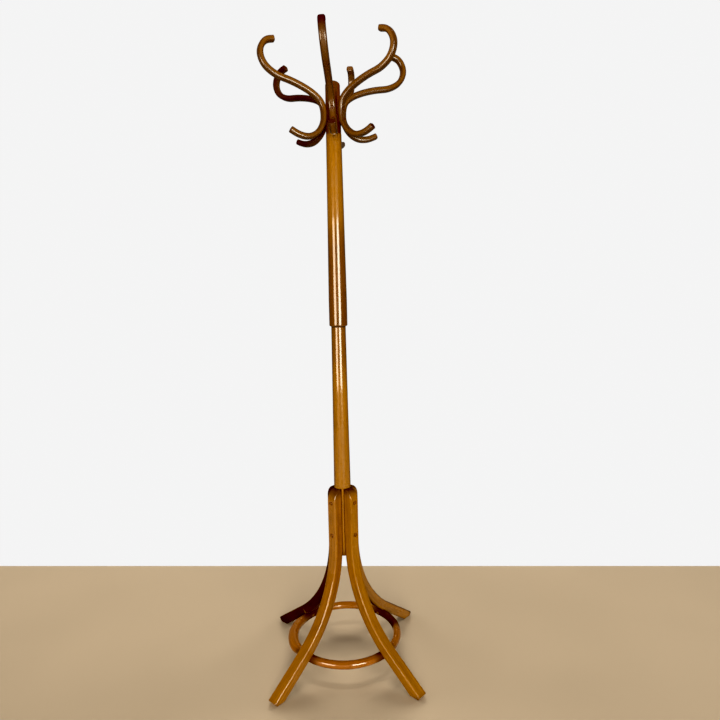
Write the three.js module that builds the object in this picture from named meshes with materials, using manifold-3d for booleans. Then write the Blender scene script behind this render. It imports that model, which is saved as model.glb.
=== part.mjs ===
// Bentwood coat stand: four splayed legs round a turned lower pole, an umbrella ring between the legs,
// and an upper pole that turns on a spigot and carries six S-shaped hook arms.
// Millimetres, +Z up, front of the stand towards -Y, origin on the floor under the pole.

import * as THREE from 'three';
import { mergeVertices } from 'three/addons/utils/BufferGeometryUtils.js';
import Module from 'manifold-3d';

const wasm = await Module();
wasm.setup();

// ---------------------------------------------------------------- driving dimensions

const GAP = 0.3; // left between pieces that touch

const LEG_SIDE = 33; // square section of a leg
const LEG_EDGE = 5; // rounding along a leg's four edges
const LEG_TOP = 574;
const LEG_TOP_ROUND = { across: 27, up: 34 }; // quarter ellipse from the outer face over the top
const LEG_BEND_START = 391; // the leg is upright above this height
const LEG_BEND_RADIUS = 377;
const LEG_SPLAY = THREE.MathUtils.degToRad(54); // from upright, below the bend
const FOOT_PATCH_END = 313; // outer end of the flat patch on the floor, from the pole's axis
const LEG_BEARINGS = {
  front_right: -46.5,
  rear_right: 44,
  rear_left: 136,
  front_left: -133.5,
};

const CORE_FLAT = 21; // axis to each of the four flats that the legs are screwed to
const CORE_BOTTOM = 353;
const LOWER_FOOT_RADIUS = 26.3; // round part of the lower pole, at the legs
const LOWER_MIDDLE = { radius: 23.9, height: 854 };
const LOWER_NECK_RADIUS = 22.3; // just under the swivel
const CORE_CHAMFER = 2;
const SWIVEL_HEIGHT = 1086; // shoulder that the washer lies on

const SPIGOT_RADIUS = 15;
const SPIGOT_LENGTH = 92;
const SPIGOT_CHAMFER = 3;
const WASHER_RADIUS = 22.6;
const WASHER_THICKNESS = 2;
const SOCKET_CLEARANCE = 0.6;

const UPPER_LIP_RADIUS = 28; // widest, just above the swivel
const UPPER_LIP_ROUND = 5;
const UPPER_SWELL_TOP = 1170; // the pole is as wide as its lip up to here
const UPPER_MIDDLE = { radius: 26.3, height: 1320 };
const UPPER_NECK = { radius: 23.2, height: 1640 };
const UPPER_HEAD_RADIUS = 21.8;
const UPPER_TOP = 1811;
const DOME_HEIGHT = 13;
const HEAD_FLAT = 20.8; // axis to each flat that an arm sits on
const HEAD_FLAT_BOTTOM = 1658;

const RING_RADIUS = 168.5; // centreline of the umbrella ring
const RING_TUBE = 12.5;
const RING_HEIGHT = 75;
// The hoop's ends overlap in a scarf between the left legs: degrees to each side, and growth outwards.
const RING_SCARF = { bearing: 181, reach: 38, blend: 15, growth: 9 };

const ARM_WIDTH = 21;
const ARM_THICKNESS = 16.5;
const ARM_EDGE = 6;
const ARM_HUB_HEIGHT = 1710;
const ARM_HUB_HALF = 18; // half the length of the arm's straight seat
// Centreline of an arm, lower tip to upper tip: distance out from the seat, and height over the hub.
const ARM_LINE = [
  [103, -49],
  [77, -61],
  [45, -63],
  [17, -45],
  [1, -14],
  [0, 4],
  [1, 20],
  [8, 41],
  [31, 61],
  [65, 77],
  [104, 89],
  [144, 98],
  [178, 121],
  [190, 156],
  [174, 188],
  [149, 196],
];
// Each bent arm sits a little differently: bearing round the pole, lean and nod in degrees, and lift.
const ARMS = {
  front_left: { bearing: -157.5, lean: 4, nod: 2.5, lift: -4.5 },
  front: { bearing: -93, lean: 4.3, nod: 0, lift: 1 },
  front_right: { bearing: -34.5, lean: 5, nod: 1.5, lift: 0.5 },
  rear_right: { bearing: 13.5, lean: -5, nod: -2.5, lift: 4 },
  rear: { bearing: 77, lean: 5, nod: 0.5, lift: 0 },
  rear_left: { bearing: 144.5, lean: 6.5, nod: -4, lift: 3 },
};

const SCREW_HEAD = 3.8;
const SCREW_HEAD_DEPTH = 2.4;
const SCREW_SHANK = 2;
const SCREW_CLEARANCE = 0.35; // round the shank and the head
const SCREW_SIDES = 8;
const LEG_SCREW_LENGTH = 46;
const LEG_SCREW_SINK = 4; // depth of the head's recess above the head
const LEG_SCREW_HEIGHTS = { upper: 533, lower: 428 };
const ARM_SCREW_LENGTH = 22;
const ARM_SCREW_SINK = 3;
const ARM_SCREW_OFFSETS = { upper: 17, lower: -17 };
const RING_SCREW_LENGTH = 44;
const RING_SCREW_SINK = 2;

const POLE_SIDES = 32;
const CUT_MARGIN = 20; // how far a cutter runs past the wood it cuts
const CUT_WIDTH = 60;

// ---------------------------------------------------------------- materials

function varnishedBeech(color, roughness) {
  return new THREE.MeshStandardMaterial({ color, roughness, metalness: 0 });
}

const FINISH = {
  pole: () => varnishedBeech(0xb5700f, 0.28),
  leg: () => varnishedBeech(0xa8620c, 0.3),
  ring: () => varnishedBeech(0x94520f, 0.3),
  arm: () => varnishedBeech(0x9c5a0e, 0.28),
  screw: () => new THREE.MeshStandardMaterial({ color: 0x4a2a1c, roughness: 0.5, metalness: 0.8 }),
  washer: () => new THREE.MeshStandardMaterial({ color: 0x2a160c, roughness: 0.9, metalness: 0 }),
};

// ---------------------------------------------------------------- solids and cuts

function toSolid(geometry) {
  const bare = geometry.clone();
  bare.deleteAttribute('normal');
  bare.deleteAttribute('uv');
  const merged = mergeVertices(bare, 1e-3);
  const corners = merged.index.array;
  const triangles = [];
  for (let i = 0; i < corners.length; i += 3) {
    const [a, b, c] = [corners[i], corners[i + 1], corners[i + 2]];
    if (a !== b && b !== c && c !== a) {
      triangles.push(a, b, c);
    }
  }
  const mesh = new wasm.Mesh({
    numProp: 3,
    vertProperties: new Float32Array(merged.attributes.position.array),
    triVerts: new Uint32Array(triangles),
  });
  return new wasm.Manifold(mesh);
}

function toGeometry(solid) {
  const mesh = solid.getMesh();
  const geometry = new THREE.BufferGeometry();
  geometry.setAttribute('position', new THREE.BufferAttribute(mesh.vertProperties, 3));
  geometry.setIndex(new THREE.BufferAttribute(mesh.triVerts, 1));
  geometry.computeVertexNormals();
  return geometry;
}

function carve(geometry, cutters) {
  let solid = toSolid(geometry);
  for (const cutter of cutters) {
    solid = solid.subtract(toSolid(cutter));
  }
  return toGeometry(solid);
}

// A round bar along X, from one x to another.
function barAlongX(radius, from, to) {
  const bar = new THREE.CylinderGeometry(radius, radius, Math.abs(to - from), SCREW_SIDES);
  bar.rotateZ(Math.PI / 2);
  bar.translate((from + to) / 2, 0, 0);
  return bar;
}

// A body turned about Z; the profile holds [radius, height] pairs and starts and ends on the axis.
function turned(profile, sides) {
  const points = profile.map(([radius, height]) => new THREE.Vector2(radius, height));
  const body = new THREE.LatheGeometry(points, sides);
  body.rotateX(Math.PI / 2);
  return body;
}

// Points of a quarter ellipse between two [radius, height] places round a centre.
function quarter(centre, across, up, startAngle, endAngle, steps) {
  const points = [];
  for (let i = 0; i <= steps; i += 1) {
    const angle = startAngle + ((endAngle - startAngle) * i) / steps;
    points.push([centre[0] + across * Math.cos(angle), centre[1] + up * Math.sin(angle)]);
  }
  return points;
}

// ---------------------------------------------------------------- screws

// A wood screw along X: the head's outer face at x = 0, the point in the direction given by its sign.
function screwGeometry(length, direction) {
  const taper = 4;
  const profile = [
    [0, 0],
    [SCREW_HEAD, 0],
    [SCREW_HEAD, -0.8],
    [SCREW_SHANK, -SCREW_HEAD_DEPTH],
    [SCREW_SHANK, taper - length],
    [0, -length],
  ];
  const screw = turned(profile.reverse(), SCREW_SIDES);
  screw.rotateY((direction * Math.PI) / -2);
  screw.rotateX(direction > 0 ? Math.PI / SCREW_SIDES : 0);
  return screw;
}

// The recess and pilot hole for a screw whose head's outer face is at x = head.
function screwHole(head, direction, length, sink) {
  const recess = barAlongX(SCREW_HEAD + SCREW_CLEARANCE, head - direction * (sink + CUT_MARGIN),
    head + direction * (SCREW_HEAD_DEPTH + SCREW_CLEARANCE));
  const pilot = barAlongX(SCREW_SHANK + SCREW_CLEARANCE, head, head + direction * (length + 1));
  return [recess, pilot];
}

function addScrew(group, name, head, height, length, direction) {
  const screw = new THREE.Mesh(screwGeometry(length, direction), FINISH.screw());
  screw.name = name;
  screw.position.set(head, 0, height);
  group.add(screw);
}

// ---------------------------------------------------------------- legs

const LEG_INNER = CORE_FLAT + GAP;
const LEG_OUTER = LEG_INNER + LEG_SIDE;
const LEG_SCREW_X = LEG_OUTER - LEG_SCREW_SINK;

// Side view of a leg: X out from the pole, Y up.
function legOutline() {
  const bendX = LEG_INNER + LEG_SIDE / 2 + LEG_BEND_RADIUS;
  const innerRadius = LEG_BEND_RADIUS + LEG_SIDE / 2;
  const outerRadius = LEG_BEND_RADIUS - LEG_SIDE / 2;
  const along = new THREE.Vector2(Math.sin(LEG_SPLAY), -Math.cos(LEG_SPLAY));
  const across = new THREE.Vector2(Math.cos(LEG_SPLAY), Math.sin(LEG_SPLAY));
  const bend = new THREE.Vector2(bendX, LEG_BEND_START);
  const innerEnd = bend.clone().addScaledVector(across, -innerRadius);
  const heel = innerEnd.clone().addScaledVector(along, -innerEnd.y / along.y);
  const toe = new THREE.Vector2(FOOT_PATCH_END, 0);
  const patch = toe.x - heel.x;
  const tip = toe.clone().addScaledVector(across, LEG_SIDE - patch * across.x);

  const outline = new THREE.Shape();
  outline.moveTo(heel.x, heel.y);
  outline.lineTo(toe.x, toe.y);
  outline.lineTo(tip.x, tip.y);
  outline.absarc(bend.x, bend.y, outerRadius, Math.PI + LEG_SPLAY, Math.PI, true);
  const { across: topAcross, up: topUp } = LEG_TOP_ROUND;
  outline.absellipse(LEG_OUTER - topAcross, LEG_TOP - topUp, topAcross, topUp, 0, Math.PI / 2, false, 0);
  outline.lineTo(LEG_INNER, LEG_TOP);
  outline.absarc(bend.x, bend.y, innerRadius, Math.PI, Math.PI + LEG_SPLAY, false);
  outline.closePath();
  return outline;
}

function legBlank() {
  const blank = new THREE.ExtrudeGeometry(legOutline(), {
    depth: LEG_SIDE - 2 * LEG_EDGE,
    curveSegments: 6,
    bevelEnabled: true,
    bevelThickness: LEG_EDGE,
    bevelSize: LEG_EDGE,
    bevelOffset: -LEG_EDGE,
    bevelSegments: 2,
  });
  blank.translate(0, 0, LEG_EDGE - LEG_SIDE / 2);
  blank.rotateX(Math.PI / 2);
  return blank;
}

// How far the ring's outermost line grows outwards at a place round the ring.
function scarfGrowth(x, y) {
  const degrees = THREE.MathUtils.radToDeg(Math.atan2(y, x));
  const aside = Math.abs(THREE.MathUtils.euclideanModulo(degrees - RING_SCARF.bearing + 180, 360) - 180);
  const { reach, blend, growth } = RING_SCARF;
  return growth * (1 - THREE.MathUtils.smoothstep(aside, reach - blend, reach));
}

// The umbrella ring's tube, made a little fatter where it cuts its seats in the legs.
function ringTube(radius) {
  const section = quarter([RING_RADIUS, RING_HEIGHT], radius, radius, 0, 2 * Math.PI, 10);
  const points = section.map(([across, up]) => new THREE.Vector2(across, up));
  const tube = new THREE.LatheGeometry(points, 40);
  tube.rotateX(Math.PI / 2);
  const place = tube.attributes.position;
  for (let i = 0; i < place.count; i += 1) {
    const [x, y] = [place.getX(i), place.getY(i)];
    const out = Math.hypot(x, y);
    const share = Math.max(0, (out - RING_RADIUS) / radius);
    const wider = 1 + (share * scarfGrowth(x, y)) / out;
    place.setXYZ(i, x * wider, y * wider, place.getZ(i));
  }
  return tube;
}

function legGeometry(bearing) {
  const ringSeat = ringTube(RING_TUBE + GAP).rotateZ(-bearing);
  const ringScrew = screwHole(RING_SCREW_X, 1, RING_SCREW_LENGTH, RING_SCREW_SINK)[1];
  const holes = [ringSeat, ringScrew.translate(0, 0, RING_HEIGHT)];
  for (const height of Object.values(LEG_SCREW_HEIGHTS)) {
    const hole = screwHole(LEG_SCREW_X, -1, LEG_SCREW_LENGTH, LEG_SCREW_SINK);
    holes.push(...hole.map((cutter) => cutter.translate(0, 0, height)));
  }
  return carve(legBlank(), holes);
}

// ---------------------------------------------------------------- umbrella ring

const RING_SCREW_X = RING_RADIUS - RING_TUBE + RING_SCREW_SINK;

function ringGeometry() {
  const holes = [];
  for (const degrees of Object.values(LEG_BEARINGS)) {
    for (const cutter of screwHole(RING_SCREW_X, 1, RING_SCREW_LENGTH, RING_SCREW_SINK)) {
      cutter.translate(0, 0, RING_HEIGHT);
      holes.push(cutter.rotateZ(THREE.MathUtils.degToRad(degrees)));
    }
  }
  return carve(ringTube(RING_TUBE), holes);
}

// ---------------------------------------------------------------- lower pole

const SPIGOT_TOP = SWIVEL_HEIGHT + SPIGOT_LENGTH;

function lowerPoleGeometry() {
  const blank = turned([
    [0, CORE_BOTTOM],
    [LOWER_FOOT_RADIUS - CORE_CHAMFER, CORE_BOTTOM],
    [LOWER_FOOT_RADIUS, CORE_BOTTOM + CORE_CHAMFER],
    [LOWER_FOOT_RADIUS, LEG_TOP + CUT_MARGIN],
    [LOWER_MIDDLE.radius, LOWER_MIDDLE.height],
    [LOWER_NECK_RADIUS, SWIVEL_HEIGHT],
    [SPIGOT_RADIUS, SWIVEL_HEIGHT],
    [SPIGOT_RADIUS, SPIGOT_TOP - SPIGOT_CHAMFER],
    [SPIGOT_RADIUS - SPIGOT_CHAMFER, SPIGOT_TOP],
    [0, SPIGOT_TOP],
  ], POLE_SIDES);
  const flatTop = LEG_TOP + 1;
  const flatLength = flatTop - CORE_BOTTOM + CUT_MARGIN;
  const cutters = [];
  for (const degrees of Object.values(LEG_BEARINGS)) {
    const bearing = THREE.MathUtils.degToRad(degrees);
    const flat = new THREE.BoxGeometry(CUT_MARGIN, CUT_WIDTH, flatLength);
    flat.translate(CORE_FLAT + CUT_MARGIN / 2, 0, flatTop - flatLength / 2);
    cutters.push(flat.rotateZ(bearing));
    for (const height of Object.values(LEG_SCREW_HEIGHTS)) {
      const pilot = screwHole(LEG_SCREW_X, -1, LEG_SCREW_LENGTH, LEG_SCREW_SINK)[1];
      cutters.push(pilot.translate(0, 0, height).rotateZ(bearing));
    }
  }
  return carve(blank, cutters);
}

function washerGeometry() {
  const inner = SPIGOT_RADIUS + SOCKET_CLEARANCE;
  const bottom = SWIVEL_HEIGHT + GAP;
  const top = bottom + WASHER_THICKNESS;
  const profile = [
    [inner, bottom],
    [WASHER_RADIUS, bottom],
    [WASHER_RADIUS, top],
    [inner, top],
    [inner, bottom],
  ];
  return turned(profile, POLE_SIDES);
}

// ---------------------------------------------------------------- upper pole

const UPPER_BOTTOM = SWIVEL_HEIGHT + WASHER_THICKNESS + 2 * GAP;
const SOCKET_TOP = SPIGOT_TOP + SPIGOT_CHAMFER;

function upperPoleBlank() {
  const socket = SPIGOT_RADIUS + SOCKET_CLEARANCE;
  const lipCentre = [UPPER_LIP_RADIUS - UPPER_LIP_ROUND, UPPER_BOTTOM + UPPER_LIP_ROUND];
  const domeCentre = [0, UPPER_TOP - DOME_HEIGHT];
  return turned([
    [0, SOCKET_TOP],
    [socket, SOCKET_TOP],
    [socket, UPPER_BOTTOM],
    ...quarter(lipCentre, UPPER_LIP_ROUND, UPPER_LIP_ROUND, -Math.PI / 2, 0, 3),
    [UPPER_LIP_RADIUS, UPPER_SWELL_TOP],
    [UPPER_MIDDLE.radius, UPPER_MIDDLE.height],
    [UPPER_NECK.radius, UPPER_NECK.height],
    ...quarter(domeCentre, UPPER_HEAD_RADIUS, DOME_HEIGHT, 0, Math.PI / 2, 4),
  ], POLE_SIDES);
}

function upperPoleGeometry(armGroups) {
  const flatLength = UPPER_TOP + CUT_MARGIN - HEAD_FLAT_BOTTOM;
  const cutters = [];
  for (const { bearing, tilted, seat } of armGroups) {
    const flat = new THREE.BoxGeometry(CUT_MARGIN, CUT_WIDTH, flatLength);
    flat.translate(HEAD_FLAT + CUT_MARGIN / 2, 0, HEAD_FLAT_BOTTOM + flatLength / 2);
    cutters.push(flat.rotateZ(bearing));
    for (const offset of Object.values(ARM_SCREW_OFFSETS)) {
      const pilot = screwHole(armScrewX(seat), -1, ARM_SCREW_LENGTH, ARM_SCREW_SINK)[1];
      cutters.push(pilot.translate(0, 0, offset).applyMatrix4(tilted.matrixWorld));
    }
  }
  return carve(upperPoleBlank(), cutters);
}

// ---------------------------------------------------------------- hook arms

function armSection() {
  const [x, y, r] = [ARM_WIDTH / 2, ARM_THICKNESS / 2, ARM_EDGE];
  const section = new THREE.Shape();
  section.moveTo(-x + r, -y);
  section.absarc(x - r, -y + r, r, -Math.PI / 2, 0, false);
  section.absarc(x - r, y - r, r, 0, Math.PI / 2, false);
  section.absarc(-x + r, y - r, r, Math.PI / 2, Math.PI, false);
  section.absarc(-x + r, -y + r, r, Math.PI, 1.5 * Math.PI, false);
  return section;
}

// Distance from the axis to a nodding arm's seat, so that it bears on the end of its flat.
function armSeat(nod) {
  return HEAD_FLAT + GAP + ARM_HUB_HALF * Math.abs(Math.sin(nod));
}

function armScrewX(seat) {
  return seat + ARM_THICKNESS - ARM_SCREW_SINK;
}

function armGeometry(seat) {
  const line = ARM_LINE.map(([out, up]) => new THREE.Vector3(seat + ARM_THICKNESS / 2 + out, 0, up));
  const blank = new THREE.ExtrudeGeometry(armSection(), {
    steps: 28,
    curveSegments: 1,
    extrudePath: new THREE.CatmullRomCurve3(line),
  });
  const holes = [];
  for (const offset of Object.values(ARM_SCREW_OFFSETS)) {
    const hole = screwHole(armScrewX(seat), -1, ARM_SCREW_LENGTH, ARM_SCREW_SINK);
    holes.push(...hole.map((cutter) => cutter.translate(0, 0, offset)));
  }
  return carve(blank, holes);
}

// ---------------------------------------------------------------- assembly

function addMesh(group, name, geometry, material) {
  const mesh = new THREE.Mesh(geometry, material);
  mesh.name = name;
  group.add(mesh);
}

function makeStand() {
  const stand = new THREE.Group();
  for (const [place, degrees] of Object.entries(LEG_BEARINGS)) {
    const bearing = THREE.MathUtils.degToRad(degrees);
    const side = new THREE.Group();
    side.rotation.z = bearing;
    addMesh(side, `leg_${place}`, legGeometry(bearing), FINISH.leg());
    for (const [level, height] of Object.entries(LEG_SCREW_HEIGHTS)) {
      addScrew(side, `leg_screw_${place}_${level}`, LEG_SCREW_X, height, LEG_SCREW_LENGTH, -1);
    }
    addScrew(side, `ring_screw_${place}`, RING_SCREW_X, RING_HEIGHT, RING_SCREW_LENGTH, 1);
    stand.add(side);
  }
  addMesh(stand, 'umbrella_ring', ringGeometry(), FINISH.ring());
  addMesh(stand, 'lower_pole', lowerPoleGeometry(), FINISH.pole());
  addMesh(stand, 'swivel_washer', washerGeometry(), FINISH.washer());
  return stand;
}

function makeCrown() {
  const crown = new THREE.Group();
  const armGroups = [];
  for (const [place, { bearing: degrees, lean, nod: dip, lift }] of Object.entries(ARMS)) {
    const bearing = THREE.MathUtils.degToRad(degrees);
    const nod = THREE.MathUtils.degToRad(dip);
    const seat = armSeat(nod);
    const tilted = new THREE.Group();
    tilted.rotation.order = 'ZXY';
    tilted.rotation.set(THREE.MathUtils.degToRad(lean), -nod, bearing);
    tilted.position.z = ARM_HUB_HEIGHT + lift;
    addMesh(tilted, `arm_${place}`, armGeometry(seat), FINISH.arm());
    for (const [level, offset] of Object.entries(ARM_SCREW_OFFSETS)) {
      addScrew(tilted, `arm_screw_${place}_${level}`, armScrewX(seat), offset, ARM_SCREW_LENGTH, -1);
    }
    crown.add(tilted);
    tilted.updateMatrixWorld(true);
    armGroups.push({ bearing, tilted, seat });
  }
  addMesh(crown, 'upper_pole', upperPoleGeometry(armGroups), FINISH.pole());
  return crown;
}

const group = new THREE.Group();
group.add(makeStand(), makeCrown());

export default group;
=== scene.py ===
"""Looks of the bentwood coat stand: finely shaped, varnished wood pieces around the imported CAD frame."""

import math

import bmesh
import bpy
import numpy as np
from mathutils import Matrix, Vector


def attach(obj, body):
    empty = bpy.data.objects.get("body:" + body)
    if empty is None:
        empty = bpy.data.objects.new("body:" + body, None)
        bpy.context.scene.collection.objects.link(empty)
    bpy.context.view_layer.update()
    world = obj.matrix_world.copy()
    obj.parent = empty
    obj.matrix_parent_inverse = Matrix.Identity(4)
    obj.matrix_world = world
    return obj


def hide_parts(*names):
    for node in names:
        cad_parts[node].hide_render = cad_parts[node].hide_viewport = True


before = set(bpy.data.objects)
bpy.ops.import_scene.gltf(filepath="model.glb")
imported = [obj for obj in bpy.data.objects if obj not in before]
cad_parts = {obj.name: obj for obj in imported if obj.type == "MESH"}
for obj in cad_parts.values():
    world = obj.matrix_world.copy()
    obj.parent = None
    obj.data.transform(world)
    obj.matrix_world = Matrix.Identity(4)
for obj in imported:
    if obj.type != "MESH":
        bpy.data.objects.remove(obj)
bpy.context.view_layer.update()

MM = 0.001

# ---------------------------------------------------------------- sizes in millimetres, as in the CAD source

GAP = 0.3
LEG_SIDE = 33
LEG_EDGE = 5
LEG_TOP = 574
LEG_TOP_ROUND = (27, 34)  # across and up
LEG_BEND_START = 391
LEG_BEND_RADIUS = 377
LEG_SPLAY = math.radians(54)
FOOT_PATCH_END = 312.8  # a little short of the CAD foot, so that the rounder end stays within its box
LEG_BEARINGS = {"front_right": -46.5, "rear_right": 44, "rear_left": 136, "front_left": -133.5}
CORE_FLAT = 21
CORE_BOTTOM = 353
LOWER_FOOT_RADIUS = 26.3
LOWER_MIDDLE = (23.9, 854)
LOWER_NECK_RADIUS = 22.3
SWIVEL_HEIGHT = 1086
SPIGOT_RADIUS = 15
SPIGOT_LENGTH = 92
WASHER_RADIUS = 22.6
WASHER_THICKNESS = 2
SOCKET_CLEARANCE = 0.6
UPPER_LIP_RADIUS = 28
UPPER_SWELL_TOP = 1170
UPPER_MIDDLE = (26.3, 1320)
UPPER_NECK = (23.2, 1640)
UPPER_HEAD_RADIUS = 21.8
UPPER_TOP = 1811
DOME_HEIGHT = 13
HEAD_FLAT = 20.8
HEAD_FLAT_BOTTOM = 1658
RING_RADIUS = 168.5
RING_TUBE = 12.5
RING_HEIGHT = 75
RING_SCARF = (181, 38, 15, 9)  # bearing, reach and blend in degrees, and growth outwards
ARM_WIDTH = 21
ARM_THICKNESS = 16.5
ARM_EDGE = 6
ARM_END_ROUND = 2.2
ARM_HUB_HEIGHT = 1710
ARM_HUB_HALF = 18
ARM_LINE = [
    (103, -49), (77, -61), (45, -63), (17, -45), (1, -14), (0, 4), (1, 20), (8, 41),
    (31, 61), (65, 77), (104, 89), (144, 98), (178, 121), (190, 156), (174, 188), (149, 196),
]
ARMS = {  # bearing, lean and nod in degrees, lift
    "front_left": (-157.5, 4, 2.5, -4.5),
    "front": (-93, 4.3, 0, 1),
    "front_right": (-34.5, 5, 1.5, 0.5),
    "rear_right": (13.5, -5, -2.5, 4),
    "rear": (77, 5, 0.5, 0),
    "rear_left": (144.5, 6.5, -4, 3),
}
SCREW_HEAD = 3.8
SCREW_HEAD_DEPTH = 2.4
SCREW_SHANK = 2
SCREW_CLEARANCE = 0.35
LEG_SCREW = (46, 4)  # length, and depth of the head's recess
ARM_SCREW = (22, 3)
RING_SCREW = (44, 2)
LEG_SCREW_HEIGHTS = {"upper": 533, "lower": 428}
ARM_SCREW_OFFSETS = {"upper": 17, "lower": -17}

LEG_INNER = CORE_FLAT + GAP
LEG_OUTER = LEG_INNER + LEG_SIDE

# ---------------------------------------------------------------- painted shade and dark end grain, 0 to 1, and where they lie

LOWER_DARK, UPPER_DARK = 955, 1390  # painted shade: the poles are darker between these heights, round the long highlights on them
HEAD_DARK_BOTTOM, HEAD_DARK_TOP = 1668, 1765  # painted shade on the head between the arms
HEAD_BOTTOM = 1650
# painted shade on the flats under the arms
HEAD_FLAT_SHADE = 0.85
# painted shadow over one side of the rear-left leg
LEG_FLANK_SHADOW = {"rear_left": 0.80}
# painted shadow along the outer face of the rear-right leg
LEG_CREST_SHADOW = {"rear_right": 0.75}
# painted shade along the legs' undersides
LEG_UNDER_SHADE = 0.72
LEG_TOP_GRAIN_AND_SHADE = {"front_left": 30}  # dark end grain and painted shade on a leg's top: how far they reach down from it
LEG_TOP_REACH = 19  # the same for the other legs
# painted shadow over one side of the rear-left arm
ARM_FLANK_SHADOW = {"rear_left": 0.72}
ARM_TIP_GRAIN_AND_SHADE = {"front": (1.0, 60, 11)}  # painted shade over the front arm's upward-facing upper curl, with its dark end grain: how dark, its reach and its fade
# dark end grain at the upper tips of the other arms
ARM_TIP_USUAL = (0.5, 3, 2)
RING_SHADOWS = [(-133.5, 14), (-46.5, 14), (136, 16), (29, 26)]  # painted shadows of the legs on the ring: bearings in degrees, and reach to each side
NO_SCREW = 900.0  # a distance from the nearest screw that leaves no dark halo
LOWER_GRAIN = (31, 8, 0)  # where in the tree each pole's grain was cut from
UPPER_GRAIN = (-12, 19, 331)

# ---------------------------------------------------------------- mesh tools


BOX_FACES = [[0, 1, 3, 2], [4, 6, 7, 5], [0, 4, 5, 1], [2, 3, 7, 6], [0, 2, 6, 4], [1, 5, 7, 3]]


def turn_z(degrees):
    return np.array(Matrix.Rotation(math.radians(degrees), 3, "Z"))


def box_points(low, high):
    """The eight corners that BOX_FACES joins."""
    across, along, up = zip(low, high)
    return np.array([(x, y, z) for x in across for y in along for z in up])


def fading(value, middle, width):
    """A mask that falls smoothly from 1 to 0 as value passes middle."""
    return 1 / (1 + np.exp((value - middle) / width))


def rising(value, middle, width):
    """A mask that climbs smoothly from 0 to 1 as value passes middle."""
    return fading(middle, value, width)


def rounded(points, radii, steps=5):
    """The polyline with each corner turned into an arc of its own radius; a radius of 0 keeps the corner."""
    out = []
    last = len(points) - 1
    for i, (point, radius) in enumerate(zip(points, radii)):
        if not radius or i in (0, last):
            out.append(tuple(point))
            continue
        here = np.array(point, float)
        back = np.array(points[i - 1], float) - here
        ahead = np.array(points[i + 1], float) - here
        back /= np.linalg.norm(back)
        ahead /= np.linalg.norm(ahead)
        half = math.acos(np.clip(back @ ahead, -1, 1)) / 2
        middle = back + ahead
        centre = here + middle / np.linalg.norm(middle) * radius / math.sin(half)
        first = here + back * radius / math.tan(half) - centre
        final = here + ahead * radius / math.tan(half) - centre
        sweep = math.acos(np.clip(first @ final / radius**2, -1, 1))
        for k in range(steps + 1):
            t = k / steps
            blend = math.sin((1 - t) * sweep) * first + math.sin(t * sweep) * final
            out.append(tuple(centre + blend / math.sin(sweep)))
    return out


def make_object(name, points, faces, grain=None, hole=None, end_grain_and_shade=None, painted_shade=None):
    """A mesh object with its wood's grain coordinates, the way from the nearest screw, a mask of dark end
    grain and painted shade, and a mask of painted shade.
    """
    mesh = bpy.data.meshes.new(name)
    mesh.from_pydata((np.asarray(points, float) * MM).tolist(), [], faces)
    for label, vectors in (("grain", grain), ("hole", hole)):
        vectors = np.full((len(points), 3), NO_SCREW) if vectors is None else np.asarray(vectors, float)
        mesh.attributes.new(label, "FLOAT_VECTOR", "POINT").data.foreach_set(
            "vector", (vectors * MM).astype(np.float32).ravel())
    for label, mask in (("end_grain_and_shade", end_grain_and_shade), ("painted_shade", painted_shade)):
        mask = np.zeros(len(points)) if mask is None else np.asarray(mask, float)
        mesh.attributes.new(label, "FLOAT", "POINT").data.foreach_set("value", mask.astype(np.float32))
    obj = bpy.data.objects.new(name, mesh)
    bpy.context.scene.collection.objects.link(obj)
    return obj


def lathe(profile, sides):
    """Points and faces of a body turned about Z, from (radius, height) pairs."""
    angles = np.linspace(0, 2 * math.pi, sides, endpoint=False)
    circle = np.stack([np.cos(angles), np.sin(angles)], 1)
    points, rows = [], []
    for radius, height in profile:
        start = len(points)
        if radius < 1e-6:
            points.append((0, 0, height))
            rows.append([start] * sides)
        else:
            points += [(radius * x, radius * y, height) for x, y in circle]
            rows.append(list(range(start, start + sides)))
    faces = []
    for low, high in zip(rows, rows[1:]):
        for i in range(sides):
            j = (i + 1) % sides
            face = list(dict.fromkeys([low[i], low[j], high[j], high[i]]))
            if len(face) > 2:
                faces.append(face)
    return np.array(points, float), faces


def bands(rows, count):
    """Faces between consecutive closed rows of count points each."""
    faces = []
    for row in range(rows - 1):
        for i in range(count):
            j = (i + 1) % count
            faces.append([row * count + i, row * count + j, (row + 1) * count + j, (row + 1) * count + i])
    return faces


def swept(stations, count):
    """Faces of a tube of rows of count points each, with a flat fan at each end."""
    last = (stations - 1) * count
    return bands(stations, count) + [list(range(count))[::-1], [last + i for i in range(count)]]


def outward(obj, merge=False):
    """Turns every face outwards, after joining the points that coincide if merge is set."""
    work = bmesh.new()
    work.from_mesh(obj.data)
    if merge:
        bmesh.ops.remove_doubles(work, verts=work.verts, dist=1e-7)
    bmesh.ops.recalc_face_normals(work, faces=work.faces)
    work.to_mesh(obj.data)
    work.free()


def bake_modifiers(obj):
    graph = bpy.context.evaluated_depsgraph_get()
    mesh = bpy.data.meshes.new_from_object(obj.evaluated_get(graph))
    obj.modifiers.clear()
    old = obj.data
    obj.data = mesh
    bpy.data.meshes.remove(old)


def carve(obj, cutters):
    """Cuts the cutter objects out of obj, and removes them."""
    for cutter in cutters:
        outward(cutter)
        modifier = obj.modifiers.new("cut", "BOOLEAN")
        modifier.object = cutter
        modifier.operation = "DIFFERENCE"
        modifier.solver = "EXACT"
    bake_modifiers(obj)
    for cutter in cutters:
        mesh = cutter.data
        bpy.data.objects.remove(cutter)
        bpy.data.meshes.remove(mesh)


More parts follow.
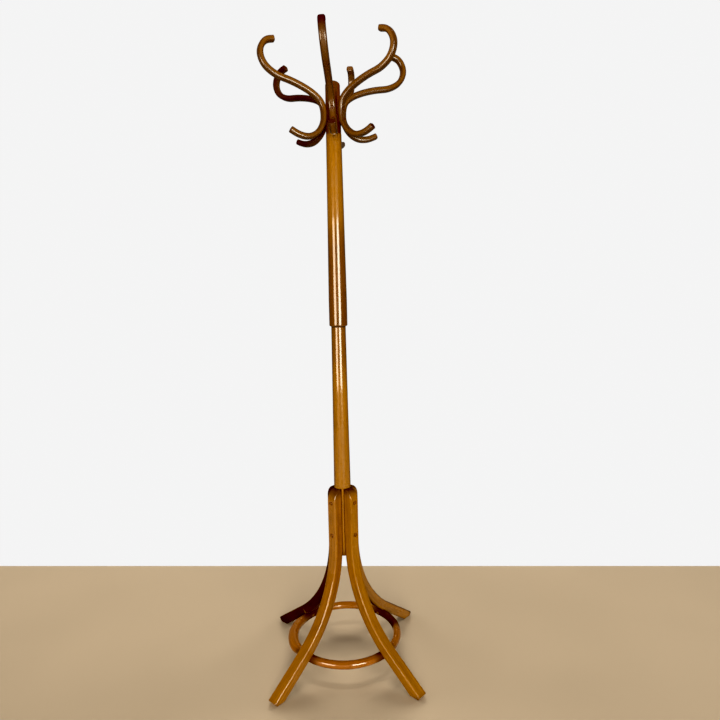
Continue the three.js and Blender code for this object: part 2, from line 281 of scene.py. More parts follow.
def soften(obj, width, degrees):
    """Rounds every edge sharper than the given angle."""
    modifier = obj.modifiers.new("soft_edges", "BEVEL")
    modifier.width = width * MM
    modifier.segments = 2
    modifier.limit_method = "ANGLE"
    modifier.angle_limit = math.radians(degrees)
    modifier.use_clamp_overlap = True
    bake_modifiers(obj)


def shade(obj, degrees=38):
    obj.data.polygons.foreach_set("use_smooth", [True] * len(obj.data.polygons))
    obj.data.set_sharp_from_angle(angle=math.radians(degrees))
    modifier = obj.modifiers.new("even_normals", "WEIGHTED_NORMAL")
    modifier.keep_sharp = True
    modifier.weight = 80


def finish_piece(obj, body, slot, material, *nodes):
    obj.data.materials.clear()
    obj.data.materials.append(material)
    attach(obj, body)
    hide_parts(*nodes)


# ---------------------------------------------------------------- materials

POLE_TONES = ((0.33, 0.165, 0.016), (0.265, 0.128, 0.008), (0.17, 0.070, 0.0035))  # pale, amber and brown
LEG_TONES = ((0.33, 0.160, 0.018), (0.26, 0.120, 0.010), (0.155, 0.062, 0.005))
RING_TONES = ((0.33, 0.140, 0.018), (0.26, 0.100, 0.010), (0.155, 0.052, 0.005))
ARM_TONES = ((0.19, 0.097, 0.027), (0.144, 0.070, 0.016), (0.080, 0.034, 0.007))
# how painted shade darkens the wood
SHADE_TINT = (0.40, 0.30, 0.25)
HALO_TONE = (0.075, 0.010, 0.004)
# the colour of dark end grain and of painted shade
END_GRAIN_AND_SHADE_TONE = (0.030, 0.005, 0.003)
VARNISH_TINT = (1.0, 0.93, 0.75)
STEEL_STOPS = [(0.35, (0.20, 0.075, 0.025)), (0.6, (0.34, 0.15, 0.055)), (0.8, (0.50, 0.30, 0.16))]
WASHER_STOPS = [(0.3, (0.018, 0.008, 0.005)), (0.6, (0.05, 0.022, 0.012)), (0.8, (0.11, 0.06, 0.035))]
FLOOR_STOPS = [(0.3, (0.43, 0.358, 0.270)), (0.7, (0.46, 0.383, 0.289))]


class Nodes:
    """A short way to write a material's node tree."""

    def __init__(self, name):
        self.material = bpy.data.materials.new(name)
        self.material.use_nodes = True
        self.tree = self.material.node_tree
        self.tree.nodes.clear()

    def add(self, kind, settings=None, **links):
        node = self.tree.nodes.new(kind)
        for key, value in (settings or {}).items():
            setattr(node, key, value)
        for key, value in links.items():
            by_place = key[0] == "i" and key[1:].isdigit()
            self.put(value, node.inputs[int(key[1:]) if by_place else key.replace("_", " ")])
        return node

    def put(self, value, socket):
        """Links the socket to another one, or sets it to a plain value."""
        if isinstance(value, bpy.types.NodeSocket):
            self.tree.links.new(value, socket)
        else:
            socket.default_value = value

    def scaled(self, vector, scale):
        return self.add("ShaderNodeVectorMath", {"operation": "MULTIPLY"}, i0=vector, i1=scale).outputs[0]

    def noise(self, vector, scale, detail=3.0, roughness=0.5, distortion=0.0):
        return self.add("ShaderNodeTexNoise", {"noise_dimensions": "3D"}, Vector=self.scaled(vector, scale),
                        Scale=1.0, Detail=detail, Roughness=roughness, Distortion=distortion).outputs["Fac"]

    def ramp(self, value, stops):
        node = self.add("ShaderNodeValToRGB", i0=value)
        band = node.color_ramp
        band.interpolation = "EASE"
        while len(band.elements) < len(stops):
            band.elements.new(0.5)
        for element, (place, colour) in zip(band.elements, stops):
            element.position = place
            element.color = (*colour, 1)
        return node.outputs["Color"]

    def range(self, value, low, high, to_low=0.0, to_high=1.0):
        return self.add("ShaderNodeMapRange", {"interpolation_type": "SMOOTHSTEP"}, i0=value, i1=low, i2=high,
                        i3=to_low, i4=to_high).outputs[0]

    def math(self, operation, a, b):
        return self.add("ShaderNodeMath", {"operation": operation}, i0=a, i1=b).outputs[0]

    def mix(self, factor, a, b, mode="MIX"):
        node = self.add("ShaderNodeMix", {"data_type": "RGBA", "blend_type": mode})
        for socket, value in ((node.inputs["Factor"], factor), (node.inputs[6], a), (node.inputs[7], b)):
            self.put((*value, 1) if isinstance(value, tuple) else value, socket)
        return node.outputs[2]

    def finish(self, shader):
        """Makes the shader the surface, and hands back the material."""
        self.tree.links.new(shader.outputs[0], self.add("ShaderNodeOutputMaterial").inputs[0])
        return self.material


def shaded(tone, share):
    return tuple(share * c for c in tone)


def varnished_wood(name, tones, gloss=(0.05, 0.12), waves=0.12, figure=1.0, coat=1.0):
    """Straight-grained beech under a gloss amber varnish, its grain along the grain attribute's third axis.

    gloss is the range of the varnish's roughness, waves its ripple, figure how strongly the grain shows and
    coat how much varnish is left.
    """
    pale, amber, brown = tones
    n = Nodes(name)
    grain = n.add("ShaderNodeAttribute", {"attribute_name": "grain"}).outputs["Vector"]
    end_grain_and_shade = n.add("ShaderNodeAttribute", {"attribute_name": "end_grain_and_shade"}).outputs["Fac"]
    painted_shade = n.add("ShaderNodeAttribute", {"attribute_name": "painted_shade"}).outputs["Fac"]
    hole = n.add("ShaderNodeAttribute", {"attribute_name": "hole"}).outputs["Vector"]
    from_hole = n.add("ShaderNodeVectorMath", {"operation": "LENGTH"}, i0=hole).outputs["Value"]

    drift = n.noise(grain, (9, 9, 2.2), 2, 0.5)
    streaks = n.noise(grain, (130, 130, 5), 4, 0.62, 0.35)
    fibres = n.noise(grain, (900, 900, 28), 3, 0.6)
    flecks = n.noise(grain, (620, 620, 150), 1, 0.4)
    blotches = n.noise(grain, (26, 26, 11), 3, 0.55)

    bent = n.add("ShaderNodeVectorMath", {"operation": "ADD"}, i0=n.scaled(grain, (1, 1, 0.045)),
                 i1=n.scaled(n.add("ShaderNodeTexNoise", Vector=n.scaled(grain, (14, 14, 2.5)), Scale=1.0,
                                   Detail=2.0).outputs["Color"], (0.02, 0.02, 0.0))).outputs[0]
    rings = n.add("ShaderNodeTexWave", {"wave_type": "RINGS", "rings_direction": "Z", "wave_profile": "SAW"},
                  Vector=bent, Scale=52.0, Distortion=1.2, Detail=2.0, Detail_Scale=1.5,
                  Detail_Roughness=0.5).outputs["Fac"]

    body = n.ramp(n.math("ADD", n.math("MULTIPLY", streaks, 0.65), n.math("MULTIPLY", drift, 0.55)),
                  [(0.36, brown), (0.57, amber), (0.79, pale)])
    ringed = n.mix(n.range(rings, 0.55, 1.0, 0.0, 0.34 * figure), body, brown)
    stained = n.mix(n.range(blotches, 0.56, 0.76, 0.0, 0.42 * figure), ringed, shaded(brown, 0.62))
    fibred = n.mix(n.range(fibres, 0.40, 0.66, 0.0, 0.30 * figure), stained, shaded(brown, 0.5))
    flecked = n.mix(n.range(flecks, 0.64, 0.73, 0.0, 0.42 * figure), fibred, shaded(brown, 0.38))
    # painted shade: darkens the wood where the painted_shade mask is set
    darker = n.mix(painted_shade, flecked, n.mix(1.0, flecked, SHADE_TINT, "MULTIPLY"))
    halo = n.range(n.math("ADD", from_hole, n.math("MULTIPLY", blotches, 0.003)), 0.0050, 0.0095, 0.80, 0.0)
    haloed = n.mix(halo, darker, HALO_TONE)
    # dark end grain and painted shade: dark, matte wood where the end_grain_and_shade mask is set
    uneven = n.math("MULTIPLY", n.math("SUBTRACT", blotches, 0.5), 0.4)
    grain_and_shade_mask = n.range(n.math("ADD", end_grain_and_shade, uneven), 0.1, 0.95)
    colour = n.mix(grain_and_shade_mask, haloed, END_GRAIN_AND_SHADE_TONE)

    smudge = n.noise(grain, (34, 34, 17), 4, 0.6)
    roughness = n.math("ADD", n.range(smudge, 0.3, 0.75, 0.24, 0.36), n.math("MULTIPLY", grain_and_shade_mask, 0.5))
    coat_roughness = n.range(smudge, 0.35, 0.8, *gloss)
    coat_weight = n.range(grain_and_shade_mask, 0.1, 0.85, coat, 0.0)
    ripple = n.noise(grain, (55, 55, 9), 2, 0.4)
    height = n.math("ADD", n.math("MULTIPLY", fibres, 0.35), n.math("MULTIPLY", flecks, 0.25))
    relief = n.add("ShaderNodeBump", Strength=0.14 * figure, Distance=0.0004, Height=height).outputs[0]
    wavy = n.add("ShaderNodeBump", Strength=waves, Distance=0.0012, Height=ripple).outputs[0]
    shader = n.add("ShaderNodeBsdfPrincipled", Base_Color=colour, Roughness=roughness, Normal=relief,
                   Coat_Weight=coat_weight, Coat_Roughness=coat_roughness, Coat_IOR=1.52, Coat_Normal=wavy)
    shader.inputs["Coat Tint"].default_value = (*VARNISH_TINT, 1)
    n.tree.links.new(n.range(grain_and_shade_mask, 0.3, 0.9, 0.30 * coat, 0.06), shader.inputs["Specular IOR Level"])
    return n.finish(shader)


def bronzed_steel(name, brightness):
    n = Nodes(name)
    place = n.add("ShaderNodeTexCoord").outputs["Object"]
    wear = n.noise(place, (700, 700, 700), 4, 0.6)
    scratch = n.noise(place, (250, 2600, 2600), 2, 0.5)
    colour = n.ramp(n.math("ADD", n.math("MULTIPLY", wear, 0.8), n.math("MULTIPLY", scratch, 0.3)),
                    [(stop, shaded(tone, brightness)) for stop, tone in STEEL_STOPS])
    bump = n.add("ShaderNodeBump", Strength=0.2, Distance=0.0002, Height=scratch).outputs[0]
    roughness = n.range(wear, 0.3, 0.7, 0.28, 0.55)
    shader = n.add("ShaderNodeBsdfPrincipled", Base_Color=colour, Roughness=roughness, Metallic=0.45,
                   Normal=bump)
    return n.finish(shader)


def dark_washer():
    n = Nodes("dark_washer")
    place = n.add("ShaderNodeTexCoord").outputs["Object"]
    mottle = n.noise(place, (420, 420, 900), 4, 0.6)
    colour = n.ramp(mottle, WASHER_STOPS)
    bump = n.add("ShaderNodeBump", Strength=0.3, Distance=0.0003, Height=mottle).outputs[0]
    roughness = n.range(mottle, 0.3, 0.7, 0.6, 0.9)
    shader = n.add("ShaderNodeBsdfPrincipled", Base_Color=colour, Roughness=roughness, Normal=bump)
    return n.finish(shader)


POLE_WOOD = varnished_wood("pole_wood", POLE_TONES)
LEG_WOOD = varnished_wood("leg_wood", LEG_TONES, gloss=(0.06, 0.28))
RUBBED_LEG_WOOD = varnished_wood("rubbed_leg_wood", LEG_TONES, gloss=(0.15, 0.50), coat=0.4)
RING_WOOD = varnished_wood("ring_wood", RING_TONES)
ARM_WOOD = varnished_wood("arm_wood", ARM_TONES, gloss=(0.18, 0.28), waves=0.03, figure=0.2)
STEEL = bronzed_steel("bronzed_steel", 1.0)
# painted shade: a darker copy of the screw steel, for the screws in the arms' hub
SHADED_STEEL = bronzed_steel("shaded_bronzed_steel", 0.4)
WASHER = dark_washer()

# ---------------------------------------------------------------- screws and their holes


def screw_cutter(head, direction, size):
    """Points and faces of a stepped cutter along X for a screw whose head's outer face is at x = head."""
    length, sink = size
    recess, pilot = SCREW_HEAD + SCREW_CLEARANCE, SCREW_SHANK + SCREW_CLEARANCE
    profile = [(0, sink + 12), (recess, sink + 12), (recess, -SCREW_HEAD_DEPTH - SCREW_CLEARANCE),
               (pilot, -SCREW_HEAD_DEPTH - SCREW_CLEARANCE), (pilot, -length - 1), (0, -length - 1)]
    points, faces = lathe(profile, 28)
    return np.stack([head - direction * points[:, 2], points[:, 1], points[:, 0] * direction], 1), faces


def placed(cutter, turn, shift):
    """The cutter as an object whose walls are painted dark, as shade in the recess it cuts."""
    points, faces = cutter
    return make_object("hole", points @ turn.T + np.array(shift, float), faces, end_grain_and_shade=np.ones(len(points)))


def screw_mesh(length):
    """A slotted wood screw along -X with its head's outer face at x = 0."""
    root = SCREW_SHANK * 0.8
    profile = [(0, 0), (SCREW_HEAD - 0.5, 0), (SCREW_HEAD, -0.5), (SCREW_HEAD, -0.9),
               (SCREW_SHANK, -SCREW_HEAD_DEPTH), (SCREW_SHANK, -length * 0.35), (root, -length * 0.36),
               (root, 4 - length), (0, -length)]
    points, faces = lathe(profile, 32)
    obj = make_object("screw", np.stack([points[:, 2], points[:, 1], points[:, 0]], 1), faces)
    outward(obj)
    slot_depth, slot_half = 1.0, 0.45
    slot = box_points((-slot_depth, -slot_half, -6), (3, slot_half, 6))
    carve(obj, [make_object("slot", slot, BOX_FACES)])
    soften(obj, 0.12, 50)
    shade(obj, 40)
    # painted shade: the arm screws take the darker copy of the steel
    obj.data.materials.append(SHADED_STEEL if length == ARM_SCREW[0] else STEEL)
    mesh = obj.data
    bpy.data.objects.remove(obj)
    return mesh


SCREW_MESHES = {size: screw_mesh(size[0]) for size in (LEG_SCREW, ARM_SCREW, RING_SCREW)}


def add_screw(node, body, size, head, direction, frame_matrix, slot_turn):
    """Puts a screw where its CAD node is; slot_turn is how far its slot is turned, in degrees."""
    obj = bpy.data.objects.new(node + "_slotted", SCREW_MESHES[size])
    bpy.context.scene.collection.objects.link(obj)
    facing = Matrix.Rotation(math.pi if direction > 0 else 0, 4, "Z")
    obj.matrix_world = (frame_matrix @ Matrix.Translation((head[0] * MM, 0, head[1] * MM)) @ facing
                        @ Matrix.Rotation(math.radians(slot_turn), 4, "X"))
    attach(obj, body)
    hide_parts(node)


# ---------------------------------------------------------------- legs

LEG_MIDDLE = LEG_INNER + LEG_SIDE / 2
BEND = np.array([LEG_MIDDLE + LEG_BEND_RADIUS, LEG_BEND_START])
ALONG = np.array([math.sin(LEG_SPLAY), -math.cos(LEG_SPLAY)])
ACROSS = np.array([math.cos(LEG_SPLAY), math.sin(LEG_SPLAY)])
STRAIGHT = LEG_TOP - LEG_BEND_START
LEG_SCREW_X = LEG_OUTER - LEG_SCREW[1]
HALO_SINK = 2.5  # keeps the dark halo round a leg's screw narrow


def leg_spot(s, n):
    """The point (out, up) at a distance s down the leg from its top and n outwards from its middle line."""
    arc = LEG_BEND_RADIUS * LEG_SPLAY
    if s < STRAIGHT:
        return np.array([LEG_MIDDLE + n, LEG_TOP - s])
    if s < STRAIGHT + arc:
        angle = (s - STRAIGHT) / LEG_BEND_RADIUS
        reach = LEG_BEND_RADIUS - n
        return BEND - reach * np.array([math.cos(angle), math.sin(angle)])
    reach = LEG_BEND_RADIUS - n
    return BEND - reach * ACROSS + (s - STRAIGHT - arc) * ALONG


def leg_stations():
    """Pairs of inner and outer rail points (s, n) down to the heel, then the toe and the tip."""
    half = LEG_SIDE / 2
    pairs = []
    across, up = LEG_TOP_ROUND
    for k in range(17):
        angle = math.pi / 2 * (1 - k / 16)
        drop = up * (1 - math.sin(angle))
        pairs.append(((drop, -half), (drop, half - across * (1 - math.cos(angle)))))
    arc_end = STRAIGHT + LEG_BEND_RADIUS * LEG_SPLAY
    places = list(np.linspace(up, STRAIGHT, 14)[1:]) + list(np.linspace(STRAIGHT, arc_end, 49)[1:])
    heel = arc_end + leg_spot(arc_end, -half)[1] / -ALONG[1]
    places += list(np.linspace(arc_end, heel, 12)[1:])
    pairs += [((s, -half), (s, half)) for s in places]
    toe_out = FOOT_PATCH_END - leg_spot(heel, -half)[0]
    toe = (heel + toe_out * ALONG[0], -half + toe_out * ACROSS[0])
    return pairs, toe, (toe[0], half)


def leg_layers():
    """Rows of the leg's outline, inset as the edge rounding asks, each at its own distance to the side."""
    steps = 6
    rows = []
    for k in range(steps + 1):
        angle = math.pi / 2 * k / steps
        rows.append((LEG_SIDE / 2 - LEG_EDGE + LEG_EDGE * math.sin(angle), LEG_EDGE * (1 - math.cos(angle))))
    return [(-side, inset) for side, inset in rows[::-1]] + rows


def inset_loop(loop, inset):
    """The closed outline moved inwards by inset along its mitred corners; the outline runs clockwise."""
    points = np.array(loop)
    before = points - np.roll(points, 1, axis=0)
    after = np.roll(points, -1, axis=0) - points
    before /= np.linalg.norm(before, axis=1)[:, None]
    after /= np.linalg.norm(after, axis=1)[:, None]
    normal_before = np.stack([before[:, 1], -before[:, 0]], 1)
    normal_after = np.stack([after[:, 1], -after[:, 0]], 1)
    middle = normal_before + normal_after
    middle /= (middle * normal_before).sum(1)[:, None]
    return points + middle * inset


def leg_darkness(place, s, n, side, inset, total):
    """How dark a leg is: painted shade along its underside, painted shadow on the outer face of one leg and
    over one side of another, dark end grain with painted shade at its top, and dark end grain at its foot.
    """
    edge = 1 - inset / LEG_EDGE
    # painted shade along the underside, and painted shadow along one leg's outer face
    along = LEG_UNDER_SHADE * edge if n < 0 else LEG_CREST_SHADOW.get(place, 0) * edge
    # painted shadow over one side of the rear-left leg
    flank = LEG_FLANK_SHADOW.get(place, 0) * (side / LEG_SIDE + 0.5)
    # dark end grain and painted shade over the top's rounding
    top = 0.68 * math.exp(-(s / LEG_TOP_GRAIN_AND_SHADE.get(place, LEG_TOP_REACH)) ** 2)
    return max(along, flank, top) + 0.40 * math.exp(-(total - s) / 6)


def leg_piece(place, degrees, number):
    pairs, toe, tip = leg_stations()
    inner = [a for a, _ in pairs]
    outer = [b for _, b in pairs]
    rail = outer + [tip, toe] + inner[::-1]
    flat = [tuple(leg_spot(s, n)) for s, n in rail]
    layers = leg_layers()
    points, grain, hole, end_grain_and_shade = [], [], [], []
    middle = LEG_TOP - sum(LEG_SCREW_HEIGHTS.values()) / 2
    apart = (LEG_SCREW_HEIGHTS["upper"] - LEG_SCREW_HEIGHTS["lower"]) / 2
    for side, inset in layers:
        for (x, z), (s, n) in zip(inset_loop(flat, inset), rail):
            points.append((x, side, max(z, 0)))
            grain.append((n + 37 * number, side + 91 * number, s + 713 * number))
            hole.append((LEG_SIDE / 2 - n + HALO_SINK, side, abs(s - middle) - apart))
            end_grain_and_shade.append(leg_darkness(place, s, n, side, inset, toe[0]))
    count = len(rail)
    faces = bands(len(layers), count)
    steps = len(outer)
    for base in (0, (len(layers) - 1) * count):
        for k in range(steps - 1):
            faces.append([base + k, base + k + 1, base + count - 2 - k, base + count - 1 - k])
        faces.append([base + steps - 1, base + steps, base + steps + 1, base + steps + 2])
    turn = turn_z(degrees)
    obj = make_object(f"bent_leg_{place}", np.array(points) @ turn.T, faces, grain, hole, end_grain_and_shade)
    outward(obj)
    soften(obj, 2.2, 48)
    cutters = [placed(screw_cutter(LEG_SCREW_X, -1, LEG_SCREW), turn, (0, 0, height))
               for height in LEG_SCREW_HEIGHTS.values()]
    seat, seat_faces, _ = ring_tube(RING_TUBE + GAP, 96, 24)
    cutters.append(make_object("seat", seat, seat_faces))
    carve(obj, cutters)
    shade(obj)
    wood = RUBBED_LEG_WOOD if place == "front_right" else LEG_WOOD
    finish_piece(obj, "stand", "leg_wood", wood, f"leg_{place}")
    frame_matrix = Matrix.Rotation(math.radians(degrees), 4, "Z")
    for i, (level, height) in enumerate(LEG_SCREW_HEIGHTS.items()):
        add_screw(f"leg_screw_{place}_{level}", "stand", LEG_SCREW, (LEG_SCREW_X, height), -1, frame_matrix,
                  37 * number + 64 * i)
    add_screw(f"ring_screw_{place}", "stand", RING_SCREW, (RING_SCREW_X, RING_HEIGHT), 1, frame_matrix,
              23 * number)


# ---------------------------------------------------------------- umbrella ring

RING_SCREW_X = RING_RADIUS - RING_TUBE + RING_SCREW[1]


def scarf_growth(a):
    """How far the ring's outermost line grows outwards at a bearing, where the hoop overlaps itself at its
    scarf.
    """
    bearing, reach, blend, growth = RING_SCARF
    aside = abs((math.degrees(a) - bearing + 180) % 360 - 180)
    t = min(1, max(0, (aside - reach + blend) / blend))
    return growth * (1 - t * t * (3 - 2 * t))


def ring_tube(radius, around, section):
    points, grain = [], []
    for i in range(around):
        a = 2 * math.pi * i / around
        for k in range(section):
            b = 2 * math.pi * k / section
            out = RING_RADIUS + radius * math.cos(b) + scarf_growth(a) * max(0, math.cos(b))
            points.append((out * math.cos(a), out * math.sin(a), RING_HEIGHT + radius * math.sin(b)))
            grain.append((radius * math.cos(b), radius * math.sin(b), a * RING_RADIUS))
    faces = []
    for i in range(around):
        for k in range(section):
            ahead, beside = (i + 1) % around, (k + 1) % section
            here, there = i * section, ahead * section
            faces.append([here + k, there + k, there + beside, here + beside])
    return np.array(points), faces, np.array(grain)


def ring_piece():
    points, faces, grain = ring_tube(RING_TUBE, 220, 36)
    bearings = np.degrees(np.arctan2(points[:, 1], points[:, 0]))
    end_grain_and_shade = np.zeros(len(points))
    # painted shadows of the legs on the ring, dark and matte
    for degrees, reach in RING_SHADOWS:
        aside = np.abs((bearings - degrees + 180) % 360 - 180)
        end_grain_and_shade = np.maximum(end_grain_and_shade, 0.75 * fading(aside, reach, 2.5))
    obj = make_object("umbrella_hoop", points, faces, grain + np.array([411, 57, 0]), end_grain_and_shade=end_grain_and_shade)
    outward(obj)
    cutter = screw_cutter(RING_SCREW_X, 1, RING_SCREW)
    carve(obj, [placed(cutter, turn_z(degrees), (0, 0, RING_HEIGHT)) for degrees in LEG_BEARINGS.values()])
    shade(obj)
    finish_piece(obj, "stand", "ring_wood", RING_WOOD, "umbrella_ring")


# ---------------------------------------------------------------- poles


def straight_grain(points, shift):
    return np.asarray(points) + np.array(shift, float)


def box_cutter(low, high, turn, shift, end_grain_and_shade):
    """A box that cuts a flat, which carries the wood's own grain and an even amount of painted shade."""
    corners = box_points(low, high) @ turn.T
    return make_object("flat", corners, BOX_FACES, straight_grain(corners, shift),
                       end_grain_and_shade=np.full(len(corners), end_grain_and_shade))


def subdivided(profile, step):
    """Adds points along long straight stretches, so that the grain attribute follows the surface closely."""
    out = [profile[0]]
    for a, b in zip(profile, profile[1:]):
        parts = max(1, int(math.dist(a, b) / step))
        out += [tuple(np.array(a) + (np.array(b) - np.array(a)) * k / parts) for k in range(1, parts + 1)]
    return out


def lower_pole():
    spigot_top = SWIVEL_HEIGHT + SPIGOT_LENGTH
    profile = [(0, CORE_BOTTOM), (LOWER_FOOT_RADIUS, CORE_BOTTOM), (LOWER_FOOT_RADIUS, LEG_TOP + 20),
               LOWER_MIDDLE, (LOWER_NECK_RADIUS, SWIVEL_HEIGHT), (SPIGOT_RADIUS, SWIVEL_HEIGHT),
               (SPIGOT_RADIUS, spigot_top), (0, spigot_top)]
    profile = subdivided(rounded(profile, [0, 2.2, 300, 600, 1.2, 0, 3, 0]), 40)
    points, faces = lathe(profile, 96)
    end_grain_and_shade = np.exp(-(points[:, 2] - CORE_BOTTOM) / 7)
    # painted shade: darker above LOWER_DARK, round the pole's long highlights
    painted_shade = 0.62 * rising(points[:, 2], LOWER_DARK, 13)
    obj = make_object("turned_lower_pole", points, faces, straight_grain(points, LOWER_GRAIN), end_grain_and_shade=end_grain_and_shade,
                      painted_shade=painted_shade)
    outward(obj)
    cutters = []
    for degrees in LEG_BEARINGS.values():
        turn = turn_z(degrees)
        low, high = (CORE_FLAT, -40, CORE_BOTTOM - 20), (CORE_FLAT + 20, 40, LEG_TOP + 1)
        cutters.append(box_cutter(low, high, turn, LOWER_GRAIN, 0))
        cutters += [placed(screw_cutter(LEG_SCREW_X, -1, LEG_SCREW), turn, (0, 0, height))
                    for height in LEG_SCREW_HEIGHTS.values()]
    carve(obj, cutters)
    shade(obj)
    finish_piece(obj, "stand", "pole_wood", POLE_WOOD, "lower_pole")


def washer_piece():
    inner, bottom = SPIGOT_RADIUS + SOCKET_CLEARANCE, SWIVEL_HEIGHT + GAP
    top = bottom + WASHER_THICKNESS
    loop = [(inner, bottom), (WASHER_RADIUS, bottom), (WASHER_RADIUS, top), (inner, top), (inner, bottom)]
    points, faces = lathe(rounded(loop, [0, 0.6, 0.6, 0, 0]), 96)
    obj = make_object("joint_washer", points, faces)
    outward(obj, merge=True)
    shade(obj)
    finish_piece(obj, "stand", "washer", WASHER, "swivel_washer")


# ---------------------------------------------------------------- hook arms


def arm_seat(nod):
    return HEAD_FLAT + GAP + ARM_HUB_HALF * abs(math.sin(math.radians(nod)))


def arm_matrix(bearing, lean, nod, lift):
    return (Matrix.Translation((0, 0, (ARM_HUB_HEIGHT + lift) * MM))
            @ Matrix.Rotation(math.radians(bearing), 4, "Z") @ Matrix.Rotation(math.radians(lean), 4, "X")
            @ Matrix.Rotation(math.radians(-nod), 4, "Y"))


def spline(points, parts=24):
    """A centripetal Catmull-Rom curve through the points, as a dense polyline."""
    p = [np.array(q, float) for q in points]
    p = [2 * p[0] - p[1]] + p + [2 * p[-1] - p[-2]]
    out = []
    for i in range(1, len(p) - 2):
        p0, p1, p2, p3 = p[i - 1:i + 3]
        d0, d1, d2 = (max(np.linalg.norm(b - a), 1e-9) ** 0.5 for a, b in ((p0, p1), (p1, p2), (p2, p3)))
        t1 = ((p1 - p0) / d0 - (p2 - p0) / (d0 + d1) + (p2 - p1) / d1) * d1
        t2 = ((p2 - p1) / d1 - (p3 - p1) / (d1 + d2) + (p3 - p2) / d2) * d1
        for k in range(parts):
            t = k / parts
            square, cube = -3 * p1 + 3 * p2 - 2 * t1 - t2, 2 * p1 - 2 * p2 + t1 + t2
            out.append(p1 + t1 * t + square * t**2 + cube * t**3)
    out.append(p[-2])
    return np.array(out)


def even(line, count):
    """The line as count points at even distances, and those distances."""
    run = np.concatenate([[0], np.cumsum(np.linalg.norm(np.diff(line, axis=0), axis=1))])
    s = np.linspace(0, run[-1], count)
    return np.stack([np.interp(s, run, line[:, i]) for i in range(line.shape[1])], 1), s


def smoothed(line, passes):
    """Evens out the bend along the line and keeps its first and last points."""
    for _ in range(passes):
        inside = (line[:-2] + 2 * line[1:-1] + line[2:]) / 4
        line = np.vstack([line[:1], inside, line[-1:]])
    return line


def arm_section(inset, steps=6):
    half_y, half_n = ARM_WIDTH / 2 - inset, ARM_THICKNESS / 2 - inset
    radius = max(ARM_EDGE - inset, 0.4)
    loop = []
    for corner, (cy, cn) in enumerate(((1, 1), (-1, 1), (-1, -1), (1, -1))):
        for k in range(steps + 1):
            a = math.pi / 2 * (corner + k / steps)
            loop.append((cy * (half_y - radius) + radius * math.cos(a),
                         cn * (half_n - radius) + radius * math.sin(a)))
    return np.array(loop)


def arm_stations(s):
    """Distances along the arm, and how far its section is drawn in there to round it off at either end."""
    angles = [math.pi / 2 * k / 6 for k in range(6)]
    start = [(ARM_END_ROUND * (1 - math.cos(a)), ARM_END_ROUND * (1 - math.sin(a))) for a in angles]
    middle = [(d, 0.0) for d in s if ARM_END_ROUND <= d <= s[-1] - ARM_END_ROUND]
    return start + middle + [(s[-1] - d, inset) for d, inset in start[::-1]]


def arm_screw_cutters(head, turn, shift):
    return [placed(screw_cutter(head, -1, ARM_SCREW), turn, shift + turn @ np.array([0, 0, offset]))
            for offset in ARM_SCREW_OFFSETS.values()]


def at_distance(d, s, rows):
    return np.array([np.interp(d, s, rows[:, 0]), np.interp(d, s, rows[:, 1])])


def arm_piece(place, pose, number):
    seat = arm_seat(pose[2])
    line, _ = even(spline(ARM_LINE), 260)
    line, s = even(smoothed(line, 36), 170)
    line = line + np.array([seat + ARM_THICKNESS / 2, 0])
    tangent = np.gradient(line, axis=0)
    tangent /= np.linalg.norm(tangent, axis=1)[:, None]
    normal = np.stack([tangent[:, 1], -tangent[:, 0]], 1)
    stations = arm_stations(s)
    points, grain, hole, end_grain_and_shade, painted_shade = [], [], [], [], []
    hub = np.interp(0, line[:60, 1], s[:60])  # where the arm passes the middle of its seat
    dark, reach, fade = ARM_TIP_GRAIN_AND_SHADE.get(place, ARM_TIP_USUAL)
    for d, inset in stations:
        centre = at_distance(d, s, line)
        across = at_distance(d, s, normal)
        across /= np.linalg.norm(across)
        # dark end grain at both tips, and painted shade over the front arm's upper curl
        tips = 0.75 * math.exp(-d / 2.5) + dark * fading(s[-1] - d, reach, fade)
        for y, n in arm_section(inset):
            spot = centre + across * n
            points.append((spot[0], y, spot[1]))
            grain.append((n + 53 * number, y + 29 * number, d + 617 * number))
            hole.append((ARM_THICKNESS / 2 - n, y, abs(d - hub) - ARM_SCREW_OFFSETS["upper"]))
            # painted shadow over one side of the rear-left arm
            end_grain_and_shade.append(max(tips, ARM_FLANK_SHADOW.get(place, 0.0) * (y / ARM_WIDTH + 0.5)))
            # painted shade along the arm's rounded edges
            corner = 4 * abs(y) * abs(n) / (ARM_WIDTH * ARM_THICKNESS)
            painted_shade.append(0.85 * min(1, max(0, (corner - 0.12) / 0.45)))
    matrix = arm_matrix(*pose)
    turn, shift = np.array(matrix.to_3x3()), np.array(matrix.translation) / MM
    faces = swept(len(stations), len(arm_section(0)))
    obj = make_object(f"bent_arm_{place}", np.array(points) @ turn.T + shift, faces, grain, hole, end_grain_and_shade, painted_shade)
    outward(obj)
    head = seat + ARM_THICKNESS - ARM_SCREW[1]
    carve(obj, arm_screw_cutters(head, turn, shift))
    shade(obj)
    finish_piece(obj, "crown", "arm_wood", ARM_WOOD, f"arm_{place}")
    for i, (level, offset) in enumerate(ARM_SCREW_OFFSETS.items()):
        add_screw(f"arm_screw_{place}_{level}", "crown", ARM_SCREW, (head, offset), -1, matrix,
                  51 * number + 75 * i)


